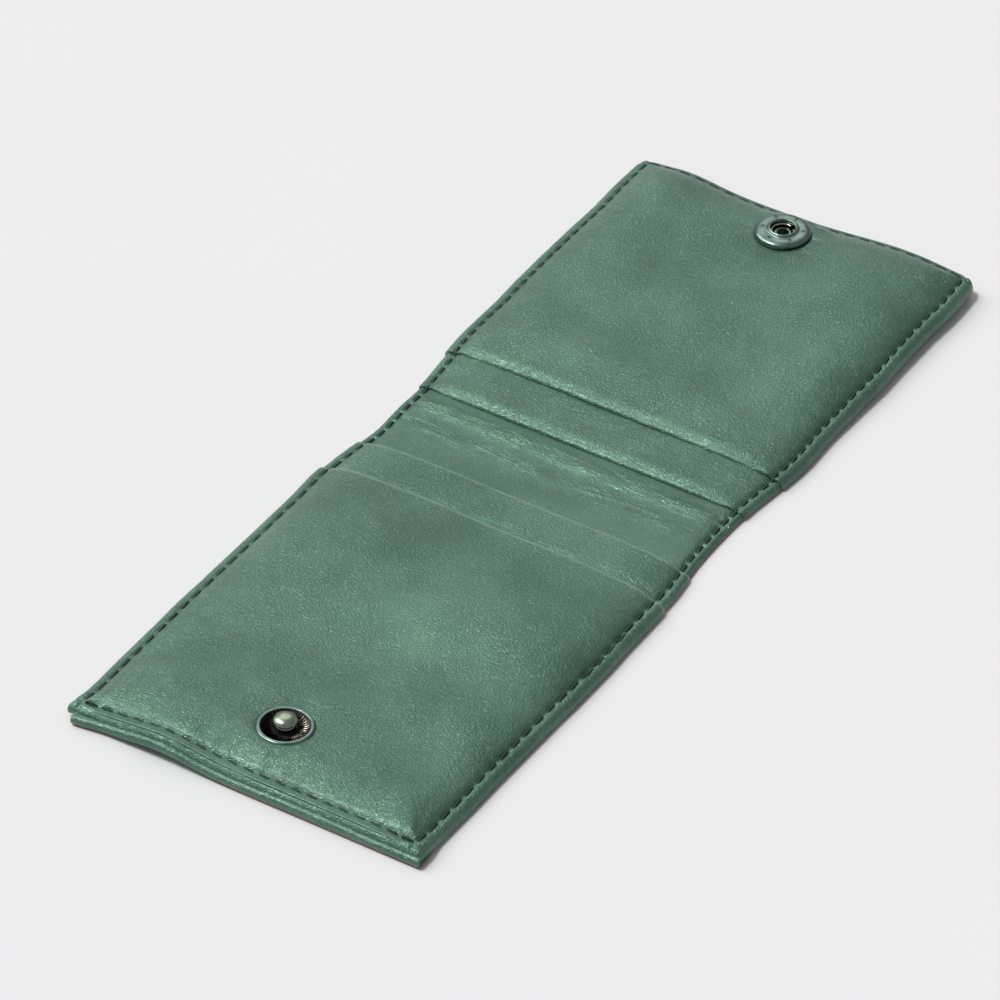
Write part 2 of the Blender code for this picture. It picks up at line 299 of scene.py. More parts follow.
def leather(name, grain=1.0, creased=(), highlight_rims=(), red_rim=False):
    """Pearly green leather. creased lists bands of creases (y, reach, depth); each mouth listed as a rim
    gets a painted pale highlight along its lip.
    """
    material, tree, shader = new_material(name)
    at, (x, y, z) = place_in_mm(tree)
    height, drift = grain_pattern(tree, at)
    height = height * grain
    cloud = noise(tree, at, 0.07, 3.0)
    broken = noise(tree, stretched(tree, at, (0.5, 1.6, 1.0)), 0.32, 2.0).step(0.40, 0.62)
    crest = height.step(-0.2, 1.1)
    if creased:
        lines = strokes(tree, at)
        for centre, reach, depth in creased:
            height = height + lines * band(y, centre, reach) * broken * depth
            crest = crest + lines * band(y, centre, reach) * broken * depth * 0.6
    # Painted light: grain crests and crease lines are mixed paler, partly rubbed wear and partly painted
    # highlight; low grain goes darker as painted shade in the valleys.
    tone = (cloud - 0.5) * 0.4 + (drift - 0.5) * 0.3 + crest * 0.45 + 0.05
    base = mixed(tree, tone.step(-0.25, 0.45), DEEP, MIDDLE)
    base = mixed(tree, tone.step(0.35, 1.1) * 0.8, base, PALE)
    # Painted highlight: a pale band along each listed pocket mouth stands in for light on its rolled lip.
    for rim in highlight_rims:
        base = mixed(tree, band(y, rim / MM + 0.25, 0.85) * 0.75, base, PALE)
    if red_rim:
        low = 1 - z.step(0.26, 0.42)
        edge = abs(x).step(half_width / MM - 2.8, half_width / MM - 2.4)
        near = (y * -1).step(-back_end / MM - 2.4, -back_end / MM - 2.0)
        far = y.step(front_end / MM - 1.6, front_end / MM - 1.3)
        base = mixed(tree, low * edge.maths("MAXIMUM", near).maths("MAXIMUM", far), base, RED_EDGE)
    put(tree, shader.inputs["Base Color"], base)
    put(tree, shader.inputs["Roughness"], 0.33 - crest * 0.05 + (cloud - 0.5) * 0.12)
    shader.inputs["Metallic"].default_value = 0.5
    shader.inputs["Specular IOR Level"].default_value = 0.6
    shader.inputs["Coat Weight"].default_value = 0.12
    shader.inputs["Coat Roughness"].default_value = 0.25
    put(tree, shader.inputs["Normal"], bump(tree, height, 1.0, 0.088 * MM))
    return material


pocket_leather = leather(
    "pocket_leather",
    creased=[(back_upper_mouth / MM + 2.2, 2.6, 0.9), (front_lower_mouth / MM + 6, 5.0, 0.35)],
    highlight_rims=[back_lower_mouth, back_upper_mouth],
)
spine_leather = leather(
    "spine_leather",
    grain=0.6,
    creased=[(front_lower_mouth / MM - 4.6, 3.4, 1.3), (front_lower_mouth / MM - 10.4, 3.0, 0.9)],
)
cover_leather = leather("cover_leather", grain=0.8, red_rim=True)
print("leathers:", pocket_leather.name, spine_leather.name, cover_leather.name)

# %% [markdown]
# ## Thread, board, cloth and metal
# The thread is dark green and waxed, and its twist shows as slanting lines. The
# snap is lacquered metal, grey-green on its rings with a warm glint, and blackened
# in the ribbed dish under the stud's head, with glints painted pale along its ribs.

# %% Make the other finishes
def thread_finish():
    material, tree, shader = new_material("waxed_thread")
    at, (x, y, z) = place_in_mm(tree)
    twist = ((x + y * 1.4 + z * 1.2) * 9.0).maths("SINE")
    fuzz = noise(tree, at, 5.0, 2.0)
    put(tree, shader.inputs["Base Color"], mixed(tree, fuzz, (0.008, 0.026, 0.020), (0.024, 0.066, 0.050)))
    put(tree, shader.inputs["Roughness"], 0.5 + fuzz * 0.3)
    put(tree, shader.inputs["Normal"], bump(tree, twist + fuzz, 0.5, 0.05 * MM))
    return material


def woven_cloth(name, light, dark):
    material, tree, shader = new_material(name)
    at, (x, y, z) = place_in_mm(tree)
    weave = (x * 14.0).maths("SINE") * (y * 14.0).maths("SINE")
    put(tree, shader.inputs["Base Color"], mixed(tree, weave * 0.5 + 0.5, dark, light))
    put(tree, shader.inputs["Roughness"], 0.85 + weave * 0.1)
    put(tree, shader.inputs["Normal"], bump(tree, weave, 0.4, 0.1 * MM))
    return material


def fibre_board():
    material, tree, shader = new_material("fibre_board")
    at, _ = place_in_mm(tree)
    fibres = noise(tree, stretched(tree, at, (1.0, 0.25, 1.0)), 1.6, 4.0)
    put(tree, shader.inputs["Base Color"], mixed(tree, fibres, (0.30, 0.27, 0.21), (0.52, 0.48, 0.40)))
    put(tree, shader.inputs["Roughness"], 0.8 + fibres * 0.15)
    put(tree, shader.inputs["Normal"], bump(tree, fibres, 0.3, 0.1 * MM))
    return material


def snap_metal(name, dark, light, roughness):
    """Lacquered metal with a patchy tone and fine specks."""
    material, tree, shader = new_material(name)
    at, _ = place_in_mm(tree)
    patches = noise(tree, at, 0.45, 3.0)
    specks = noise(tree, at, 3.2, 2.0)
    tone = (patches * 0.7 + specks * 0.3).step(0.25, 0.75)
    put(tree, shader.inputs["Base Color"], mixed(tree, tone, dark, light))
    shader.inputs["Metallic"].default_value = 1.0
    put(tree, shader.inputs["Roughness"], roughness + (specks - 0.5) * 0.16)
    put(tree, shader.inputs["Normal"], bump(tree, specks, 0.12, 0.03 * MM))
    return material


def ribbed_black(centre, ribs):
    """Black lacquer with painted glints: pale stripes painted along the crests of the radial ribs."""
    material, tree, shader = new_material("ribbed_black")
    at, (x, y, z) = place_in_mm(tree)
    turn = (y - centre.y / MM).maths("ARCTAN2", x - centre.x / MM)
    crest = (turn * ribs).maths("SINE").step(0.25, 0.95)
    glint_breakup = noise(tree, at, 1.1, 2.0).step(0.35, 0.6)
    away = ((x - centre.x / MM) ** 2 + (y - centre.y / MM) ** 2) ** 0.5
    # Painted highlight: pale stripes on the rib crests, broken up by noise, stand in for glints of light on
    # the ribs.
    painted_glint = crest * glint_breakup * band(away, 3.5, 1.15)
    put(tree, shader.inputs["Base Color"], mixed(tree, painted_glint, (0.010, 0.009, 0.010), (0.62, 0.57, 0.44)))
    put(tree, shader.inputs["Roughness"], 0.24 + painted_glint * 0.12)
    shader.inputs["Metallic"].default_value = 1.0
    return material


waxed_thread = thread_finish()
divider_cloth = woven_cloth("divider_cloth", (0.035, 0.07, 0.055), (0.015, 0.03, 0.024))
washer_plastic = woven_cloth("washer_plastic", (0.05, 0.05, 0.05), (0.03, 0.03, 0.03))
board = fibre_board()
ring_metal = snap_metal("ring_metal", (0.12, 0.20, 0.175), (0.28, 0.38, 0.33), 0.30)
head_metal = snap_metal("head_metal", (0.24, 0.33, 0.25), (0.55, 0.60, 0.45), 0.30)
dish_metal = ribbed_black(stud_centre, 40)
black_metal_and_hole_shade = snap_metal("black_metal_and_hole_shade", (0.008, 0.007, 0.008), (0.022, 0.018, 0.020), 0.22)
wire_metal = snap_metal("wire_metal", (0.35, 0.32, 0.24), (0.60, 0.56, 0.46), 0.22)

# %% [markdown]
# ## The hidden metal and plastic
# The tubes, the washers and the socket's base keep the frame's own solids, because
# their shape is right and the leather covers them. They only need their finishes.

# %% Dress the hidden pieces
def dress(name, material):
    for place in frame["nodes"][name].material_slots:
        place.material = material


for half in ("stud", "socket"):
    dress(f"{half}_eyelet", ring_metal)
    dress(f"{half}_washer", washer_plastic)
dress("socket_base", black_metal_and_hole_shade)

# %% [markdown]
# ## Soft shapes in numbers
# Leather is never dead flat. Smooth steps, soft humps and a seeded lattice noise
# are enough to describe how it swells, sags and gathers, the same on every run.

# %% Soft steps, humps and noise
def smooth_step(value, start, end):
    t = np.clip((value - start) / (end - start), 0, 1)
    return t * t * (3 - 2 * t)


def hump(value, centre, reach):
    """1 at the centre, and fading away on both sides."""
    return np.exp(-(((value - centre) / reach) ** 2))


def lattice_noise(x, y, seed):
    """Smooth noise from -1 to 1 at the points (x, y), one cell per unit."""
    cells = 256
    table = np.random.default_rng(seed).uniform(-1, 1, (cells, cells))
    x, y = np.asarray(x, float) + cells / 2, np.asarray(y, float) + cells / 2
    column, row = np.floor(x).astype(int), np.floor(y).astype(int)
    u, v = x - column, y - row
    u, v = u * u * (3 - 2 * u), v * v * (3 - 2 * v)

    def read(i, j):
        return table[(column + i) % cells, (row + j) % cells]

    low = read(0, 0) * (1 - u) + read(1, 0) * u
    high = read(0, 1) * (1 - u) + read(1, 1) * u
    return low * (1 - v) + high * v


# %% [markdown]
# ## How the whole holder lies
# It has been folded many times, so it does not lie quite flat. Its near end arches
# a little left of the middle, the flap's far end lifts in two soft waves on either
# side of the snap, and the spine draws in. Every piece is built straight and then
# passed through `settle`, so all layers and threads stay together.

# %% Settle every piece the same way
def lift(x, y):
    """How far the holder stands off the table."""
    far = smooth_step(y, 45 * MM, front_end)
    waves = 1.9 * hump(x, 21 * MM, 15 * MM) + 1.1 * hump(x, -26 * MM, 8 * MM)
    right_side = 0.7 * smooth_step(x, 12 * MM, half_width) * smooth_step(y, 30 * MM, 70 * MM)
    near = smooth_step(-y, -back_end - 26 * MM, -back_end)
    arch = 1.3 * hump(x, -17 * MM, 9 * MM) * near
    return (far * waves + right_side + arch) * MM


def waist(y):
    """How much each side draws in round the spine."""
    return 1.7 * MM * (1 - smooth_step(np.abs(y - 8 * MM), 4 * MM, 27 * MM))


def wobble(y, side):
    """The cut edge's small unevenness."""
    return 0.22 * MM * lattice_noise(y / (9 * MM) + 40 * side, y * 0, 3)


def settle(points):
    """Moves straight-built points to where they lie on the real holder."""
    x, y, z = points[..., 0], points[..., 1], points[..., 2]
    drawn = (waist(y) - wobble(y, np.sign(x))) * np.clip(np.abs(x) / half_width, 0, 1)
    settled = points.copy()
    settled[..., 0] = x - np.sign(x) * drawn
    settled[..., 2] = z + lift(x, y)
    return settled


# %% [markdown]
# ## A skin of leather
# Each layer is a thin skin: a grid of points for its outer face, a second grid
# inside it, and a round edge that joins the two all the way round.

# %% Build a skin from two grids
EDGE_STEPS = 6


def skin(name, outer, inner, material):
    """A closed skin between two grids (rows, columns, xyz), with a round edge."""
    outer, inner = settle(outer), settle(inner)
    rows, columns, _ = outer.shape
    count = rows * columns
    index = np.arange(count).reshape(rows, columns)
    rim = np.concatenate([index[0, :-1], index[:-1, -1], index[-1, :0:-1], index[:0:-1, 0]])
    points = [outer.reshape(-1, 3), inner.reshape(-1, 3)]
    top, low = points[0][rim], points[1][rim]
    middle, half = (top + low) / 2, (top - low) / 2
    forward = np.roll(middle, -1, axis=0) - np.roll(middle, 1, axis=0)
    outward = np.cross(forward, half)
    outward /= np.maximum(np.linalg.norm(outward, axis=1, keepdims=True), 1e-12)
    outward *= np.linalg.norm(half, axis=1, keepdims=True)
    rings = [rim]
    for k in range(1, EDGE_STEPS):
        turn = math.pi * k / EDGE_STEPS
        points.append(middle + math.cos(turn) * half + math.sin(turn) * outward)
        rings.append(2 * count + (k - 1) * len(rim) + np.arange(len(rim)))
    rings.append(rim + count)
    a, b = index[:-1, :-1].ravel(), index[:-1, 1:].ravel()
    c, d = index[1:, 1:].ravel(), index[1:, :-1].ravel()
    faces = [np.stack([a, b, c, d], axis=1), np.stack([d, c, b, a], axis=1) + count]
    for first, second in zip(rings, rings[1:]):
        faces.append(np.stack([first, second, np.roll(second, -1), np.roll(first, -1)], axis=1))
    return add_mesh(name, np.concatenate(points), np.concatenate(faces), material)


def add_mesh(name, points, faces, material):
    mesh = bpy.data.meshes.new(name)
    mesh.from_pydata(np.asarray(points).tolist(), [], [[int(v) for v in face] for face in faces])
    mesh.shade_smooth()
    mesh.materials.append(material)
    made = bpy.data.objects.new(name, mesh)
    bpy.context.collection.objects.link(made)
    print(name, len(mesh.vertices), "points")
    return made


def offset_inward(grid, thickness):
    """The grid moved against its own normals by a thickness."""
    normal = np.cross(np.gradient(grid, axis=1), np.gradient(grid, axis=0))
    normal /= np.maximum(np.linalg.norm(normal, axis=2, keepdims=True), 1e-12)
    return grid - normal * thickness


# %% [markdown]
# ## Where the needle goes in
# The seam's holes are worked out first, because both the leather and the thread
# need them. Stitches are a little longer on the back half than on the rest.

# %% Lay out the needle holes
LONG_STITCH, SHORT_STITCH, END_STITCH = 3.8 * MM, 3.1 * MM, 3.3 * MM
GROOVE_DEPTH = 0.26 * MM


def holes_between(start, end, pitch):
    return np.linspace(start, end, round(abs(end - start) / pitch) + 1)


side_holes = np.concatenate(
    [
        holes_between(back_seam_y, back_lower_mouth - 6 * MM, LONG_STITCH)[:-1],
        holes_between(back_lower_mouth - 6 * MM, front_seam_y, SHORT_STITCH),
    ]
)
end_holes = holes_between(-seam_x, seam_x, END_STITCH)
print(len(side_holes), "holes down each side,", len(end_holes), "across each end")


def hole_gap(along, holes):
    """Distance from each place along a seam to its nearest needle hole."""
    return np.abs(along[..., None] - holes).min(axis=-1)


def groove(x, y, seam_ys):
    """How far each seam's thread presses into the leather. It lets go at the holes."""
    side_hole = hump(hole_gap(y, side_holes), 0, 0.50 * MM)
    pressed = hump(np.abs(x), seam_x, 0.40 * MM) * (1 - 1.35 * side_hole)
    for seam_y in seam_ys:
        end_hole = hump(hole_gap(x, end_holes), 0, 0.50 * MM)
        pressed = np.maximum(pressed, hump(y, seam_y, 0.40 * MM) * (1 - 1.35 * end_hole))
    return GROOVE_DEPTH * pressed


# %% [markdown]
# ## The height of one layer
# Seen from the side, a sewn edge is a rolled band outside the stitches, a crease
# where the thread pulls, and a pillow that swells up inside it. Each layer has its
# own heights for those three. The layers above have larger ones, so a small step
# shows in the band wherever a pocket ends.

# %% Profile of a sewn edge
def sewn_height(inward, inset, low, band, centre, swell):
    """Height at a distance in from an edge that is sewn at inset."""
    part = np.clip(inward / inset, 0, 1)
    rolled = low + (band - low) * np.sqrt(np.maximum(1 - (1 - part) ** 2.2, 0))
    pulled = 0.22 * MM * hump(inward, inset, 0.75 * MM)
    pillow = (centre - band) * (1 - np.exp(-np.maximum(inward - inset, 0) / swell))
    return rolled + pillow - pulled


def columns_across(half):
    """Positions across a layer: close together on the band and at the crease, wider apart inside."""
    crease = half - seam_x
    band = crease * (1 - np.cos(np.linspace(0, math.pi / 2, 8)[:-1])) * 0.7
    near = np.arange(crease * 0.7, crease + 1.8 * MM, 0.2 * MM)
    slow = near[-1] + np.cumsum(np.linspace(0.25, 0.8, 16)) * MM
    rest = np.linspace(slow[-1], half, max(2, int((half - slow[-1]) / (0.8 * MM))))[1:]
    inward = np.concatenate([band, near, slow, rest])
    return np.concatenate([inward[:-1] - half, [0.0], (half - inward[:-1])[::-1]])


def rows_from_end(end, mouth, seam_y):
    """Rows from a sewn end to a pocket's mouth."""
    inset, length = abs(seam_y - end), abs(mouth - end)
    band = inset * (1 - np.cos(np.linspace(0, math.pi / 2, 7)[:-1])) * 0.7
    near = np.arange(inset * 0.7, inset + 6 * MM, 0.27 * MM)
    rest = np.linspace(near[-1] + 0.3 * MM, length, int((length - near[-1]) / (0.46 * MM)))
    return np.sort(end + (1 if mouth > end else -1) * np.concatenate([band, near, rest]))


def corner_pull(end, rows, radius):
    """How much narrower each row is near a round corner."""
    rest = np.maximum(radius - np.abs(rows - end), 0)
    return radius - np.sqrt(np.maximum(radius**2 - rest**2, 0))


# %% [markdown]
# ## The four pockets
# Each half has an upper pocket over a lower one. Along the seams they are pressed
# thin; inside them the leather puffs up by about three millimetres. At its mouth
# each pocket's leather is folded under, which makes a thick round lip that throws a
# fine shadow. At the near end the layers stand on the cover's folded edge.

# %% Shape a pocket
UNDER_EDGE = 0.55 * MM
COVER_FOLD = 0.75 * MM


def on_fold(y):
    """Near the back half's end every layer lies on the cover's folded edge."""
    return COVER_FOLD * smooth_step(-y, -back_end - 9 * MM, -back_end - 2 * MM)


def pocket(name, end, mouth, seam_y, layer, seed, snap=None):
    """One pocket's skin. layer holds its half width, heights, thickness, lip and swells."""
    back = mouth > end
    half = layer["half"]
    rows, columns = rows_from_end(end, mouth, seam_y), columns_across(half)
    x, y = np.meshgrid(columns, rows)
    x = x * (1 - corner_pull(end, rows, layer["corner"])[:, None] / half)
    from_side = half - np.abs(columns)[None, :] + 0 * y
    from_end = np.abs(y - end)
    inset = abs(seam_y - end)
    centre = layer["centre"] + layer["swells"](x, y)
    by_side = sewn_height(from_side, half - seam_x, UNDER_EDGE, layer["band"], centre, 4.2 * MM)
    by_end = sewn_height(from_end, inset, UNDER_EDGE + 0.2 * MM, layer["band"], centre, 3.6 * MM)
    soft = 0.14 * MM
    lowest = -soft * np.log(np.exp(-by_side / soft) + np.exp(-by_end / soft))
    base = np.stack([x, y, lowest + on_fold(y)], axis=2)
    inner = offset_inward(base, layer["thick"])
    inside = smooth_step(from_side, half - seam_x, half - seam_x + 9 * MM)
    inside = inside * smooth_step(from_end, inset, inset + 9 * MM)
    sway = lattice_noise(x / (15 * MM), y / (19 * MM), seed)
    sway = sway + 0.5 * lattice_noise(x / (6 * MM), y / (8 * MM), seed + 1)
    detail = layer["sway"] * inside * sway
    detail += puckers(from_side, from_end, x, y, half - seam_x, inset, back, seed + 2)
    lip_place = np.abs(y - mouth)
    open_side = smooth_step(from_side, half - seam_x, half - seam_x + 5 * MM)
    lip = layer["lip"] * (1 - smooth_step(lip_place, 0.8 * MM, 2.4 * MM)) * open_side
    roll = 0.0 if back else 0.55 * MM
    detail -= roll * np.clip(1 - lip_place / (1.7 * MM), 0, 1) ** 2 * open_side
    detail -= groove(x, y, [seam_y])
    if snap is not None:
        away = np.hypot(x - snap.x, y - snap.y)
        detail -= (base[..., 2] - SNAP_REST[back]) * (1 - smooth_step(away, 5.0 * MM, 10.5 * MM))
        detail -= 1.1 * MM * (1 - smooth_step(away, 4.3 * MM, 5.2 * MM))
        detail += snap_rays(x, y, snap, away, seed + 5)
    outer = base.copy()
    outer[..., 2] += detail
    inner[..., 2] += detail - lip
    return skin(name, outer, inner, pocket_leather)


def puckers(from_side, from_end, x, y, side_inset, end_inset, back, seed):
    """Fine gathers where the seams pull: they run away from each seam and die out."""
    side = lattice_noise(y / (1.0 * MM), from_side / (7 * MM), seed)
    side = side * np.exp(-np.abs(from_side - side_inset) / (1.8 * MM))
    side = side * smooth_step(from_end, 1 * MM, 4 * MM)
    bend = 0.9 * lattice_noise(x / (8 * MM), y / (5 * MM), seed + 3)
    gather = lattice_noise(x / (0.95 * MM) + bend, from_end / (5.5 * MM), seed + 1)
    gather = gather + 0.6 * lattice_noise(x / (1.9 * MM) + bend, from_end / (8 * MM), seed + 4)
    reach = np.exp(-np.maximum(from_end - end_inset - 1.5 * MM, 0) / (3.2 * MM))
    reach = reach * smooth_step(from_end, 0, 2.0 * MM)
    end = gather * reach * smooth_step(from_side, 1.5 * MM, 5 * MM)
    return (0.08 * side + (0.20 if back else 0.05) * end) * MM


def snap_rays(x, y, snap, away, seed):
    """Short rays round the snap, where the pressed metal gathers the leather."""
    turn = np.arctan2(y - snap.y, x - snap.x)
    rays = lattice_noise(turn * 6.0, away / (2.5 * MM), seed)
    reach = smooth_step(away, 5.0 * MM, 6.0 * MM) * (1 - smooth_step(away, 6.5 * MM, 11 * MM))
    return rays * reach * 0.12 * MM


def back_swells(x, y):
    """The back pocket is fullest towards its mouth, and sags before the snap."""
    full = 1.1 * hump(y + 0.1 * x, -37 * MM, 14 * MM) - 0.75 * hump(y - 0.3 * x, -61 * MM, 10 * MM)
    low_right = -0.6 * hump(x, 22 * MM, 10 * MM) * hump(y, -78 * MM, 12 * MM)
    at_mouth = -0.6 * smooth_step(y, back_upper_mouth - 15 * MM, back_upper_mouth)
    return (full + low_right + at_mouth) * MM


def front_swells(x, y):
    """The flap's pocket is flatter, with a soft hollow across it, and lies down at its mouth."""
    across = 0.3 * hump(y, 62 * MM, 22 * MM) - 0.45 * hump(y + 0.2 * x, 47 * MM, 9 * MM)
    at_mouth = -0.75 * (1 - smooth_step(y, front_upper_mouth, front_upper_mouth + 12 * MM))
    return (across + at_mouth) * MM


def no_swells(x, y):
    return 0 * x


SNAP_REST = {True: pocket_top - 0.35 * MM, False: pocket_top - 0.45 * MM}
UPPER = {
    "half": half_width,
    "band": 2.5 * MM,
    "centre": pocket_top,
    "thick": 0.6 * MM,
    "lip": 1.1 * MM,
    "sway": 0.24 * MM,
    "corner": 0.9 * MM,
    "swells": back_swells,
}
FRONT_UPPER = {**UPPER, "corner": 2.4 * MM, "swells": front_swells}
LOWER = {
    **UPPER,
    "half": half_width - 0.35 * MM,
    "band": 1.85 * MM,
    "centre": 3.5 * MM,
    "thick": 0.5 * MM,
    "lip": 0.5 * MM,
    "sway": 0.10 * MM,
    "swells": no_swells,
}
FRONT_LOWER = {**LOWER, "corner": 2.4 * MM, "centre": 3.2 * MM, "lip": 1.05 * MM}
near_end = back_end + 1.2 * MM

pieces = {}
pieces["back_upper"] = pocket(
    "back_upper_pocket_leather", near_end, back_upper_mouth, back_seam_y, UPPER, 11, stud_centre
)
pieces["front_upper"] = pocket(
    "front_upper_pocket_leather", front_end, front_upper_mouth, front_seam_y, FRONT_UPPER, 23, socket_centre
)
pieces["back_lower"] = pocket(
    "back_lower_pocket_leather", near_end + 0.5 * MM, back_lower_mouth, back_seam_y, LOWER, 37
)
pieces["front_lower"] = pocket(
    "front_lower_pocket_leather", front_end - 0.5 * MM, front_lower_mouth, front_seam_y, FRONT_LOWER, 41
)

# %% [markdown]
# ## The lining and the cover
# One piece of lining runs from end to end and dips over the spine, where it shows
# between the lower pockets with its fine creases. The cover lies under it
# all. Its near end is turned up and over, and that fold is the rounded lower lip
# under the open end.

# %% Shape the lining
LINING_HALF = half_width - 0.7 * MM
LINING_BAND = 1.45 * MM


def lining():
    start, end = near_end + 1.0 * MM, front_end - 1.0 * MM
    rows = np.concatenate(
        [
            np.arange(start, back_lower_mouth - 3 * MM, 1.2 * MM),
            np.arange(back_lower_mouth - 3 * MM, front_lower_mouth + 3 * MM, 0.2 * MM),
            np.linspace(front_lower_mouth + 3 * MM, end, 66),
        ]
    )
    columns = columns_across(LINING_HALF)
    x, y = np.meshgrid(columns, rows)
    from_side = LINING_HALF - np.abs(columns)[None, :] + 0 * y
    in_valley = 1 - smooth_step(np.abs(y - FOLD_Y - 3 * MM), 12 * MM, 20 * MM)
    centre = (2.5 - 0.75 * in_valley) * MM
    z = sewn_height(from_side, LINING_HALF - seam_x, 0.5 * MM, LINING_BAND, centre, 2.5 * MM)
    base = np.stack([x, y, z + on_fold(y)], axis=2)
    inner = offset_inward(base, 0.4 * MM)
    outer = base.copy()
    outer[..., 2] += spine_creases(x, y, from_side) - groove(x, y, [])
    return skin("lining_leather", outer, inner, spine_leather)


def spine_creases(x, y, from_side):
    """Long, fine, slightly crossing creases, in a strong band beside the flap's pocket."""
    below_mouth = front_lower_mouth - y
    first = lattice_noise(x / (6 * MM), (y + 0.16 * x) / (0.85 * MM), 71)
    second = lattice_noise(x / (9 * MM) + 4, (y - 0.05 * x) / (0.6 * MM), 72)
    strong = hump(below_mouth, 4.6 * MM, 1.8 * MM) + 0.55 * hump(below_mouth, 9.8 * MM, 1.5 * MM)
    broken = 0.55 + 0.45 * lattice_noise(x / (10 * MM), y / (3 * MM), 73)
    fade = smooth_step(from_side, 1.6 * MM, 5 * MM) * smooth_step(below_mouth, 0, 1.5 * MM)
    ridges = (1 - 2 * np.abs(first)) * 0.6 + (1 - 2 * np.abs(second)) * 0.4
    swell = 0.45 * hump(below_mouth, 5.0 * MM, 2.2 * MM) + 0.2 * hump(below_mouth, 11.5 * MM, 2.0 * MM)
    return fade * MM * (0.06 * ridges * (0.12 + strong) * broken + swell)


pieces["lining"] = lining()

# %% Shape the cover
COVER_THICK = 0.7 * MM
NOSE = 0.48 * MM


def cover():
    """The cover runs from the turned-over end, round the nose and along the table to the far end."""
    half = half_width - 0.9 * MM
    nose_y = back_end + 0.35 * MM + NOSE + COVER_THICK / 2
    path = [(nose_y + (7 - k) * MM, 2 * NOSE) for k in range(7)]
    for turn in np.linspace(math.pi / 2, 3 * math.pi / 2, 11):
        path.append((nose_y + NOSE * math.cos(turn), NOSE + NOSE * math.sin(turn)))
    path += [(y, 0.0) for y in np.arange(nose_y + 1 * MM, spine_from - 2 * MM, 1.2 * MM)]
    path += [(y, 0.0) for y in np.arange(spine_from - 2 * MM, spine_to + 2 * MM, 0.3 * MM)]
    path += [(y, 0.0) for y in np.linspace(spine_to + 2 * MM, front_end - 0.1 * MM, 70)]
    path = np.array(path)
    side = np.concatenate([np.linspace(0, 2, 6), np.linspace(2.4, 36, 40)]) * MM
    columns = np.concatenate([side - half, [0.0], (half - side)[::-1]])
    near = 1 - smooth_step(path[:, 0], back_end + 1 * MM, back_end + 8 * MM)
    tucked = 2.3 * MM * near[:, None] * (columns < 0)
    tucked = tucked + corner_pull(front_end, path[:, 0], 2.4 * MM)[:, None]
    at_end = 0.8 * MM * (1 - smooth_step(path[:, 0], back_end + 3 * MM, back_end + 9 * MM))[:, None]
    x = columns[None, :] * (1 - (tucked - at_end) / half)
    y = path[:, 0][:, None] + 0 * x
    z = path[:, 1][:, None] + 0 * x
    left_corner = 1 - smooth_step(x, -half, -half + 9 * MM)
    y = y - 0.9 * MM * left_corner * (1 - smooth_step(y, back_end, back_end + 9 * MM))
    z = z * (1.25 + 0.18 * lattice_noise(x / (9 * MM), y / (9 * MM), 91))
    middle = np.stack([x, y, z + COVER_THICK / 2], axis=2)[:, ::-1]
    return skin(
        "cover_leather",
        offset_inward(middle, -COVER_THICK / 2),
        offset_inward(middle, COVER_THICK / 2),
        cover_leather,
    )


pieces["cover"] = cover()

# %% [markdown]
# ## Board and cloth inside
# A thin board stiffens each half, and a cloth divider keeps its two pockets apart.
# Nobody sees them, but they have to follow the leather as it lifts and arches, so
# they are thin skins that settle in the same way.

# %% Lay the boards and the dividers
def inner_sheet(name, node_name, raise_by, material):
    low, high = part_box(node_name)
    x, y = np.meshgrid(np.linspace(low.x, high.x, 36), np.linspace(low.y, high.y, 40))
    top = np.stack([x, y, high.z + raise_by + 0 * x], axis=2)
    bottom = np.stack([x, y, low.z + raise_by + 0 * x], axis=2)
    return skin(name, top, bottom, material)


for side in ("back", "front"):
    pieces[f"{side}_board"] = inner_sheet(f"{side}_board", f"{side}_interlining", 0.0, board)
    pieces[f"{side}_divider"] = inner_sheet(
        f"{side}_divider_cloth", f"{side}_pocket_divider", 0.4 * MM, divider_cloth
    )

# %% [markdown]
# ## The sewing
# The thread comes up through one hole, lies slanting on the leather, and dives into
# the next. A tube that follows that path reads as a row of stitches. Each side is
# one thread from end to end, so it has to bend with the fold like the leather.

# %% Lay the thread
THREAD_RADIUS = 0.23 * MM
SIDES = 8


def seam_height(y):
    """How high the leather lies along the side seams."""
    upper, lower = UPPER["band"] + on_fold(y), LOWER["band"]
    in_lower = smooth_step(y, back_upper_mouth - 0.4 * MM, back_upper_mouth + 0.8 * MM)
    in_lower = in_lower - smooth_step(y, front_upper_mouth - 0.8 * MM, front_upper_mouth + 0.4 * MM)
    in_spine = smooth_step(y, back_lower_mouth - 0.4 * MM, back_lower_mouth + 0.8 * MM)
    in_spine = in_spine - smooth_step(y, front_lower_mouth - 0.8 * MM, front_lower_mouth + 0.4 * MM)
    return upper + (lower - upper) * in_lower + (LINING_BAND - lower) * in_spine - 0.22 * MM


def tube(name, path, radius, material):
    """A round closed tube along a path."""
    path = np.asarray(path, float)
    ahead = np.gradient(path, axis=0)
    ahead /= np.linalg.norm(ahead, axis=1, keepdims=True)
    sideways = np.cross(ahead, (0, 0, 1))
    sideways /= np.maximum(np.linalg.norm(sideways, axis=1, keepdims=True), 1e-9)
    upward = np.cross(sideways, ahead)
    turn = np.linspace(0, 2 * math.pi, SIDES, endpoint=False)
    across, up = np.cos(turn)[None, :, None], np.sin(turn)[None, :, None]
    ring = across * sideways[:, None] + up * upward[:, None]
    points = (path[:, None] + radius * ring).reshape(-1, 3)
    index = np.arange(len(points)).reshape(len(path), SIDES)
    a, b = index[:-1], index[1:]
    faces = np.stack([a, np.roll(a, -1, 1), np.roll(b, -1, 1), b], axis=2).reshape(-1, 4)
    ends = [index[0][::-1].tolist(), index[-1].tolist()]
    return add_mesh(name, points, faces.tolist() + ends, material)


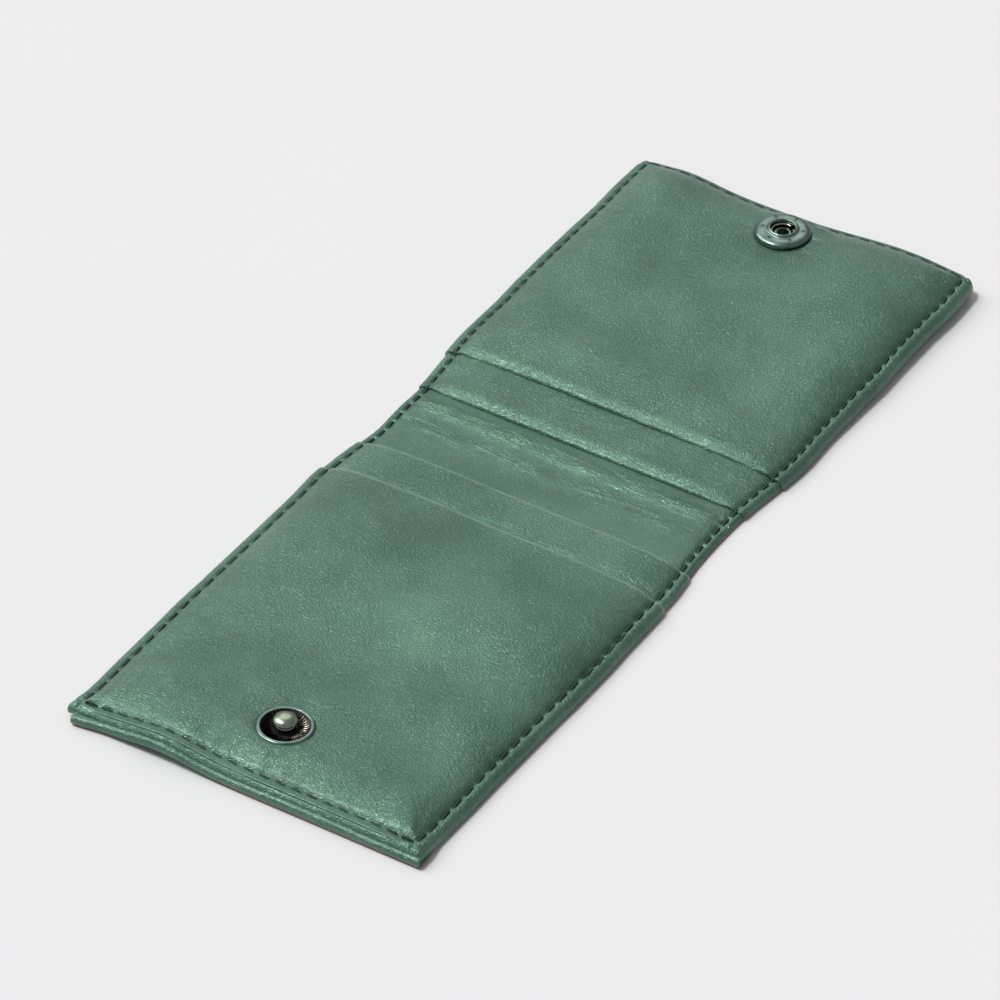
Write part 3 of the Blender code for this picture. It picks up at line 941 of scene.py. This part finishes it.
def stitches(name, holes, place, seed):
    """A row of stitches. place turns a position along the seam, and a step across it, into a point."""
    generator = np.random.default_rng(seed)
    path = []
    for first, second in zip(holes, holes[1:]):
        slack, lean = generator.uniform(0.0, 0.08) * MM, generator.uniform(0.15, 0.4) * MM
        for t in (0.0, 0.08, 0.16, 0.28, 0.45, 0.6, 0.74, 0.85, 0.93):
            lie = smooth_step(t, 0.03, 0.26) * (1 - smooth_step(t, 0.76, 0.98))
            x, y, z = place(first + (second - first) * t, lean * (0.5 - t))
            path.append((x, y, z - 0.62 * MM + lie * (0.56 * MM + slack)))
    x, y, z = place(holes[-1], 0.0)
    path.append((x, y, z - 0.62 * MM))
    return tube(name, settle(np.array(path)), THREAD_RADIUS, waxed_thread)


for word, side in (("left", -1), ("right", 1)):
    pieces[f"{word}_thread"] = stitches(
        f"{word}_side_thread",
        side_holes,
        lambda along, across: (side * seam_x + across, along, seam_height(along)),
        seed=5 + side,
    )
for word, seam_y in (("back", back_seam_y), ("front", front_seam_y)):
    pieces[f"{word}_thread"] = stitches(
        f"{word}_end_thread",
        end_holes,
        lambda along, across: (along, seam_y + across, seam_height(seam_y) + 0.2 * MM),
        seed=9,
    )

pieces["back_tack"] = stitches(
    "back_tack_thread",
    side_holes[14:19] + 0.6 * MM,
    lambda along, across: (seam_x + 0.45 * MM + 2 * across, along, seam_height(along) + 0.12 * MM),
    seed=31,
)

# %% [markdown]
# ## The snap
# Both halves are pressed from thin metal, so they are turned shapes: a profile
# spun round a vertical axis. The stud has a flat ring, a black ribbed dish and a
# domed head.

# %% Spin a profile
def spun(name, profile, centre, material, segments=96, warp=None):
    """A closed turned piece. profile is a loop of (radius, height) in millimetres from the centre."""
    turn = np.linspace(0, 2 * math.pi, segments, endpoint=False)
    radius = np.array([p[0] for p in profile])[:, None] * MM
    height = np.array([p[1] for p in profile])[:, None] * MM
    if warp is not None:
        height = height + warp(radius, turn[None, :])
    x = centre.x + radius * np.cos(turn)
    y = centre.y + radius * np.sin(turn)
    z = centre.z + height + 0 * x + lift(centre.x, centre.y)
    points = np.stack([x, y, z], axis=2).reshape(-1, 3)
    index = np.arange(len(points)).reshape(len(profile), segments)
    after = np.roll(index, -1, axis=0)
    faces = np.stack([index, np.roll(index, -1, 1), np.roll(after, -1, 1), after], axis=2).reshape(-1, 4)
    made = add_mesh(name, points, faces, material)
    made.data.set_sharp_from_angle(angle=math.radians(38))
    return made


def rounded(points, steps=3, share=0.28):
    """The same loop of points with each corner cut to a short curve."""
    out = []
    for k, here in enumerate(points):
        before, after = points[k - 1], points[(k + 1) % len(points)]
        for t in np.linspace(0, 1, steps + 1):
            a = [h + (b - h) * share * (1 - t) for h, b in zip(here, before)]
            c = [h + (n - h) * share * t for h, n in zip(here, after)]
            out.append(tuple(h + (p - h) * (1 - t) + (q - h) * t for h, p, q in zip(here, a, c)))
    return out


stud_at = Vector((stud_centre.x, stud_centre.y, SNAP_REST[True]))
socket_at = Vector((socket_centre.x, socket_centre.y, SNAP_REST[False]))


def ribs(radius, turn):
    """Radial ribs of the pressed dish, deepest half way out."""
    wave = np.abs(np.cos(turn * 20)) ** 0.6
    place = smooth_step(radius, 2.3 * MM, 2.9 * MM) * (1 - smooth_step(radius, 4.1 * MM, 4.5 * MM))
    return -0.28 * MM * wave * place


pieces["stud_ring"] = spun(
    "stud_ring_metal",
    rounded([(4.5, -0.25), (5.32, -0.25), (5.32, 0.12), (5.1, 0.32), (4.62, 0.34), (4.5, 0.2)]),
    stud_at,
    ring_metal,
)
dish_profile = [(4.55, -0.5), (4.55, 0.22), (4.3, 0.12), (3.8, -0.05), (3.2, -0.16)]
dish_profile += [(2.7, -0.2), (2.4, -0.1), (2.15, 0.1), (1.7, 0.1), (1.7, -0.7), (2.6, -0.7)]
pieces["stud_dish"] = spun("stud_dish_metal", dish_profile, stud_at, dish_metal, 240, ribs)
head_profile = [(0.001, 0.0), (1.72, 0.0), (1.72, 0.35), (1.5, 0.62), (1.42, 0.95), (1.62, 1.12)]
head_profile += [(2.18 * math.cos(a), 1.42 + 0.30 * math.sin(a)) for a in np.linspace(-1.2, 0.2, 7)]
top_turns = np.linspace(0.3, math.pi / 2 - 0.02, 10)
head_profile += [(2.18 * math.cos(a), 1.40 + math.sin(a)) for a in top_turns]
pieces["stud_head"] = spun("stud_head_metal", head_profile, stud_at, head_metal)

# %% [markdown]
# The socket's ring is a thin pressed shell with a collar. Its rim stands clear of
# the leather, so a dark line shows under it. The vent holes are small wells on the
# dome, their floors black as painted shade inside the holes, and a ring of sprung
# wire lies inside the collar.

# %% Make the socket
rim = [(5.0, 0.0), (5.2, 0.0), (5.26, 0.35), (5.4, 0.62), (5.4, 0.92), (5.2, 1.16), (4.8, 1.34)]
dome = [(4.3, 1.46), (3.7, 1.48), (3.25, 1.42)]
collar = [(3.0, 1.52), (2.86, 1.78), (2.68, 1.88), (2.46, 1.82), (2.36, 1.62), (2.36, 1.1)]
underside = [(2.6, 0.9), (3.4, 1.1), (4.3, 1.12), (4.8, 0.95), (5.05, 0.7)]
pieces["socket_ring"] = spun(
    "socket_ring_metal", rounded(rim + dome + collar + underside, 2, 0.22), socket_at, ring_metal
)


def vent_wells():
    """Six small wells in the dome, as one piece, with black floors as painted shade in the holes."""
    profile = [(0.34, -0.3), (0.34, 0.0), (0.24, 0.01), (0.14, -0.06)]
    turn = np.linspace(0, 2 * math.pi, 14, endpoint=False)
    points, faces = [], []
    for place in np.radians(20 + 60 * np.arange(6)):
        middle_x = socket_at.x + 3.9 * MM * math.cos(place)
        middle_y = socket_at.y + 3.9 * MM * math.sin(place)
        z = socket_at.z + 1.50 * MM + lift(socket_at.x, socket_at.y)
        rings = np.arange(56).reshape(4, 14) + len(points)
        for radius, height in profile:
            for a in turn:
                x, y = middle_x + radius * MM * math.cos(a), middle_y + radius * MM * math.sin(a)
                points.append((x, y, z + height * MM))
        for low, high in zip(rings, rings[1:]):
            faces += np.stack([low, np.roll(low, -1), np.roll(high, -1), high], axis=1).tolist()
        faces += [rings[0][::-1].tolist(), rings[-1].tolist()]
    # Painted shade: the black finish stands in for the shade inside the vent holes.
    return add_mesh("socket_vents", points, faces, black_metal_and_hole_shade)


def spring():
    """A ring of wire with a gap, held inside the collar."""
    turn = np.linspace(math.radians(70), math.radians(400), 60)
    z = socket_at.z + 0.95 * MM + lift(socket_at.x, socket_at.y)
    x, y = socket_at.x + 2.12 * MM * np.cos(turn), socket_at.y + 2.12 * MM * np.sin(turn)
    path = np.stack([x, y, z + 0 * turn], axis=1)
    return tube("socket_spring_wire", path, 0.22 * MM, wire_metal)


pieces["socket_vents"] = vent_wells()
pieces["socket_spring"] = spring()

# %% [markdown]
# ## Who moves with whom
# The back half is the body that stays still, and the flap turns about the fold.
# Pockets and metal ride on one body. What crosses the spine, the cover, the lining
# and the two side threads, rides on neither and keeps its place. The CAD pieces that each one stands for
# are hidden.

# %% Ride and replace
BACK, FLAP = "back_half", "front_flap"
riders = {
    "back_upper": (BACK, "leather", ["back_upper_pocket"]),
    "back_lower": (BACK, "leather", ["back_lower_pocket"]),
    "front_upper": (FLAP, "leather", ["front_upper_pocket"]),
    "front_lower": (FLAP, "leather", ["front_lower_pocket"]),
    "back_thread": (BACK, "thread", ["back_end_stitching"]),
    "back_tack": (BACK, "thread", []),
    "back_board": (BACK, "interlining_board", ["back_interlining"]),
    "front_board": (FLAP, "interlining_board", ["front_interlining"]),
    "back_divider": (BACK, "divider_cloth", ["back_pocket_divider"]),
    "front_divider": (FLAP, "divider_cloth", ["front_pocket_divider"]),
    "front_thread": (FLAP, "thread", ["front_end_stitching"]),
    "stud_ring": (BACK, "snap_metal", ["stud_ring"]),
    "stud_dish": (BACK, "dark_metal", ["stud_dish"]),
    "stud_head": (BACK, "snap_metal", ["stud_head"]),
    "socket_ring": (FLAP, "snap_metal", ["socket_ring"]),
    "socket_vents": (FLAP, "dark_metal", []),
    "socket_spring": (FLAP, "spring_wire", ["socket_spring"]),
}
for key, (body, slot, nodes) in riders.items():
    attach(pieces[key], body)
    if nodes:
        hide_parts(*nodes)

benders = {
    "cover": ("leather", ["back_cover", "spine_cover", "front_cover"]),
    "lining": ("lining_leather", ["back_lining", "spine_lining", "front_lining"]),
    "left_thread": ("thread", ["back_left_stitching", "spine_left_stitching", "front_left_stitching"]),
    "right_thread": ("thread", ["back_right_stitching", "spine_right_stitching", "front_right_stitching"]),
}
for key, (slot, nodes) in benders.items():
    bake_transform(pieces[key])
    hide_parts(*nodes)

# %% [markdown]
# The leather pieces are cut flat before they are sewn. Each is printed with the
# size of that cut. A pocket's cut has a hem that is folded under at its mouth, and
# the cover's has the allowance that is turned over at the near end.

HEM = 6 * MM
cuts = {
    "cover": (2 * half_width, front_end - back_end + HEM, "folded", ["floor"]),
    "lining": (2 * LINING_HALF, front_end - near_end, "laid", ["cover"]),
    "back_lower": (2 * LOWER["half"], back_lower_mouth - near_end + HEM, "laid", ["lining"]),
    "back_upper": (2 * UPPER["half"], back_upper_mouth - near_end + HEM, "laid", ["back_lower"]),
    "front_lower": (2 * LOWER["half"], front_end - front_lower_mouth + HEM, "laid", ["lining"]),
    "front_upper": (2 * UPPER["half"], front_end - front_upper_mouth + HEM, "laid", ["front_lower"]),
}
for side in ("back", "front"):
    low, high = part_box(f"{side}_pocket_divider")
    cuts[f"{side}_divider"] = (high.x - low.x, high.y - low.y, "laid", [f"{side}_lower"])
for key, (width, length, held, under) in cuts.items():
    below = [pieces[word] if word in pieces else word for word in under]
    print(key, "is cut", round(width / MM, 1), "x", round(length / MM, 1), "mm")

# %% [markdown]
# ## Floor and light
# The holder lies on a plain pale sheet. A broad key light from the left gives the
# soft shadow on the right. A narrower lamp overhead makes the sheen on lips and
# slopes, a weak window beyond the far end lifts the flat leather, and the sky fills in.

# %% Light the scene
def add_floor():
    bpy.ops.mesh.primitive_plane_add(size=6, location=(0, 0, -0.05 * MM))
    floor = bpy.context.object
    floor.name = "floor"
    material, tree, shader = new_material("pale_paper")
    at, _ = place_in_mm(tree)
    soft = noise(tree, at, 0.01, 2.0)
    put(tree, shader.inputs["Base Color"], mixed(tree, soft, (0.805, 0.805, 0.815), (0.825, 0.825, 0.835)))
    put(tree, shader.inputs["Roughness"], 0.8 + soft * 0.1)
    floor.data.materials.append(material)
    floor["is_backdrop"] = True


def add_sun(name, direction, strength, angle):
    """A distant lamp that shines from a direction."""
    lamp = bpy.data.lights.new(name, "SUN")
    lamp.energy = strength
    lamp.angle = math.radians(angle)
    made = bpy.data.objects.new(name, lamp)
    made.rotation_mode = "QUATERNION"
    made.rotation_quaternion = Vector(direction).to_track_quat("Z", "Y")
    bpy.context.collection.objects.link(made)


add_floor()
add_sun("key", (-0.75, -0.10, 0.66), 1.20, 36)
add_sun("overhead", (-0.40, -0.20, 0.89), 1.62, 14)
add_sun("far_window", (-0.42, 0.60, 0.68), 0.36, 40)

sky = bpy.data.worlds.new("studio")
bpy.context.scene.world = sky
sky.use_nodes = True
sky.node_tree.nodes["Background"].inputs["Color"].default_value = (1.0, 0.985, 0.99, 1)
sky.node_tree.nodes["Background"].inputs["Strength"].default_value = 0.25
bpy.context.scene.view_settings.view_transform = "Standard"

# %% [markdown]
# ## Finish
# The box printed here is the visual one; the CAD's was read at the start. Swells and
# wobbles take the skins past the CAD's box by half a millimetre at most.

# %% Write the sizes and finish
low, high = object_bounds()
print("visual box in mm:", [[round(v * 1000, 1) for v in corner] for corner in (low, high)])
